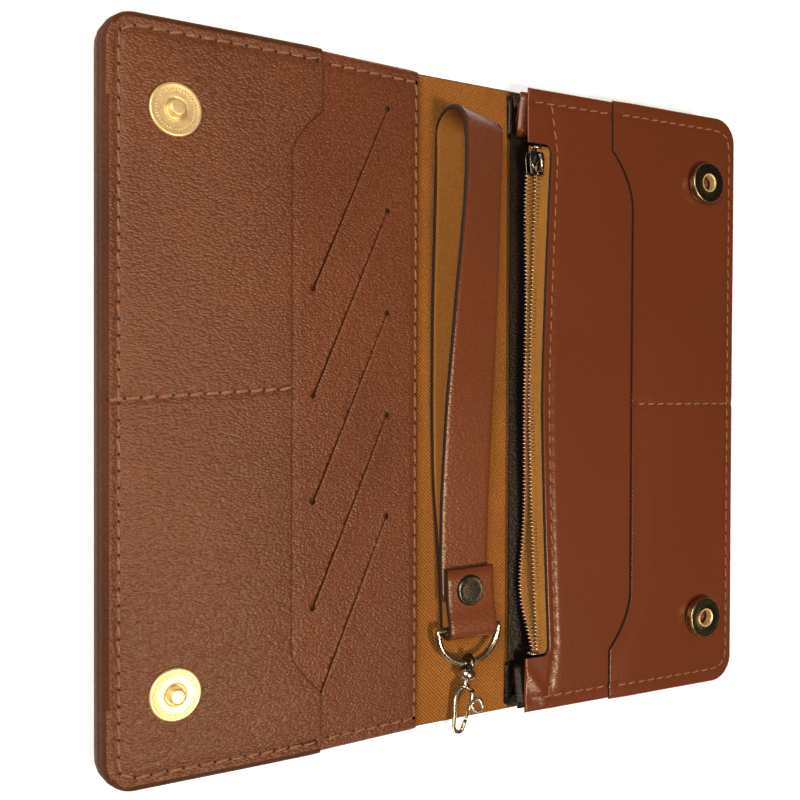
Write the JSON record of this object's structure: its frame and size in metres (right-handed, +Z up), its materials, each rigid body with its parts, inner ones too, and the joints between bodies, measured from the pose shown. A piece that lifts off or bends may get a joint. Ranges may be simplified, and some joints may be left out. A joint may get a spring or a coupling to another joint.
{
  "type": "bifold phone wallet",
  "caption": "Long bifold leather phone and card wallet lying open, with card slots, a zip pouch, magnetic snaps and a loose wrist strap.",
  "frame": {"origin": "middle of the spine's outer leather, on the face that rests on the table", "axes": "+X across the open wallet from the front cover to the rear cover, +Y along its length towards the strap's fold, +Z up out of its open inside"},
  "size_m": [0.2214, 0.2032, 0.0165],
  "materials": {
    "brown_leather": "satin, fine grain",
    "red_leather": "smooth satin",
    "black_leather": "satin",
    "tan_canvas": "matte twill",
    "foam": "matte",
    "zip_tape": "matte",
    "zip_metal": "satin",
    "gold_metal": "polished",
    "dark_metal": "polished gunmetal",
    "nickel": "polished"
  },
  "bodies": {
    "rear_cover": {"rear_cover_leather": "brown_leather", "rear_lining": "tan_canvas", "bill_gusset_top": "black_leather", "bill_gusset_bottom": "black_leather"},
    "spine": {"spine_leather": "brown_leather", "spine_lining": "tan_canvas"},
    "front_cover": {"front_cover_leather": "brown_leather", "front_lining": "tan_canvas", "front_padding": "foam", "card_backing": "tan_canvas", "card_panel": "brown_leather", "front_pocket": "brown_leather", "male_snap_top": "gold_metal", "male_snap_bottom": "gold_metal", "male_washer_top": "nickel", "male_washer_bottom": "nickel"},
    "pouch": {"pouch_back_wall": "black_leather", "pouch_front_panel": "red_leather", "rear_pocket": "red_leather", "pouch_gusset_top": "black_leather", "pouch_gusset_bottom": "black_leather", "zip_teeth_front": "zip_metal", "zip_teeth_back": "zip_metal", "zip_tape_front": "zip_tape", "zip_tape_back": "zip_tape", "zip_stop_top": "zip_metal", "zip_stop_bottom": "zip_metal", "socket_casing_top": "dark_metal", "socket_casing_bottom": "dark_metal", "socket_magnet_top": "dark_metal", "socket_magnet_bottom": "dark_metal", "socket_washer_top": "nickel", "socket_washer_bottom": "nickel"},
    "zip_slider": {"zip_slider": "dark_metal"},
    "zip_pull": {"zip_pull": "dark_metal"},
    "strap": {"strap_leather": "brown_leather", "rivet_post": "dark_metal", "rivet_cap": "dark_metal"},
    "d_ring": {"d_ring": "nickel"},
    "clasp_eye": {"clasp_eye": "dark_metal"},
    "clasp_hook": {"clasp_hook": "nickel", "lever_pin": "dark_metal"},
    "clasp_lever": {"clasp_lever": "nickel"}
  },
  "joints": [
    {"name": "spine_fold", "type": "hinge", "parent": "rear_cover", "child": "spine", "pos_m": [0.013, 0, 0.0009], "axis": [0, 1, 0], "range_deg": [0, 90]},
    {"name": "cover_fold", "type": "hinge", "parent": "spine", "child": "front_cover", "pos_m": [-0.013, 0, 0.0009], "axis": [0, 1, 0], "range_deg": [0, 90]},
    {"name": "strap_lift", "type": "slide", "parent": "rear_cover", "child": "strap", "axis": [0, 0, 1], "range_m": [0, 0.25]},
    {"name": "pouch_open", "type": "hinge", "parent": "rear_cover", "child": "pouch", "pos_m": [0.106, 0, 0.009], "axis": [0, 1, 0], "range_deg": [0, 3], "deforming": ["bill_gusset_top", "bill_gusset_bottom"]},
    {"name": "zip_travel", "type": "slide", "parent": "pouch", "child": "zip_slider", "axis": [0, 1, 0], "range_m": [-0.148, 0]},
    {"name": "pull_swing", "type": "hinge", "parent": "zip_slider", "child": "zip_pull", "pos_m": [0.0242, 0.0756, 0.01085], "axis": [-1, 0, 0], "range_deg": [0, 160]},
    {"name": "ring_swing", "type": "hinge", "parent": "strap", "child": "d_ring", "pos_m": [0.001, -0.0705, 0.0053], "axis": [-1, 0, 0], "range_deg": [0, 90]},
    {"name": "eye_swing", "type": "hinge", "parent": "d_ring", "child": "clasp_eye", "pos_m": [0.001, -0.0814, 0.0053], "axis": [-1, 0, 0], "range_deg": [0, 60]},
    {"name": "clasp_swivel", "type": "hinge", "parent": "clasp_eye", "child": "clasp_hook", "pos_m": [0.001, -0.0814, 0.0053], "axis": [-0.1805, -0.9836, 0], "range_deg": [-70, 140]},
    {"name": "lever_squeeze", "type": "hinge", "parent": "clasp_hook", "child": "clasp_lever", "pos_m": [0.00108, -0.08985, 0.00759], "axis": [0.8057, -0.1479, -0.5736], "range_deg": [0, 20], "stiffness_Nm_per_rad": 0.02, "springref_deg": -11.46}
  ],
  "couplings": [
    {"joint": "spine_fold", "follows": "strap_lift", "rad_per_m": 6.2832},
    {"joint": "cover_fold", "follows": "strap_lift", "rad_per_m": 6.2832}
  ]
}
